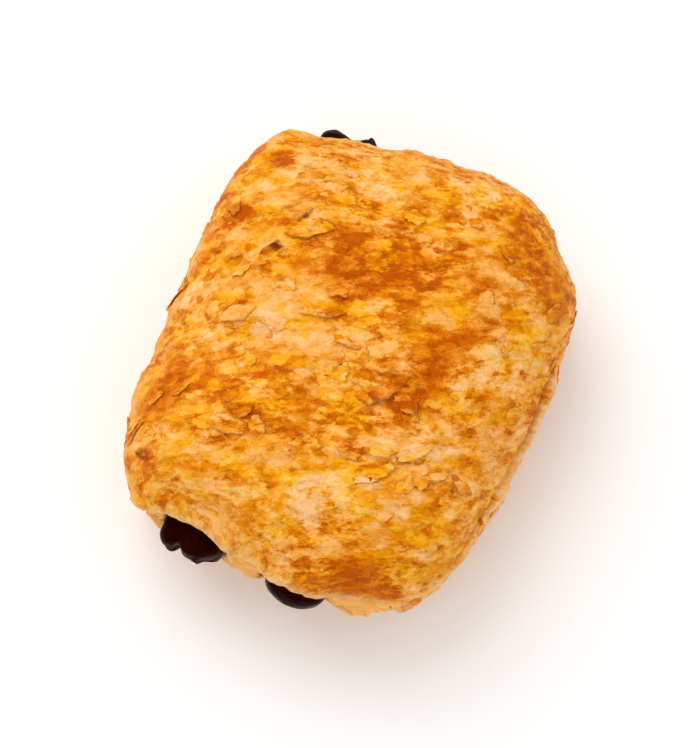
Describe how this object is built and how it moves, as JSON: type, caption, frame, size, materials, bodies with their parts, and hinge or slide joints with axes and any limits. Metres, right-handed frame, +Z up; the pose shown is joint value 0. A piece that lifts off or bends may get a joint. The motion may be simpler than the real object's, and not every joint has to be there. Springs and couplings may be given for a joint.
{
  "type": "pain au chocolat",
  "caption": "Rolled, egg-washed laminated pastry with a flat base, baked round chocolate batons whose ends show at the cut ends of the roll.",
  "frame": {"origin": "on the flat base, under the middle of the whole bake", "axes": "+Z up, +Y along the roll and its chocolate batons, away from the end where both batons stand out; +X across the roll, towards the side with the seam"},
  "size_m": [0.0674, 0.082, 0.038],
  "materials": {
    "crust": "satin",
    "chocolate": "satin"
  },
  "bodies": {
    "root": {"pastry": "crust", "chocolate_baton_left": "chocolate", "chocolate_baton_right": "chocolate"}
  },
  "joints": []
}
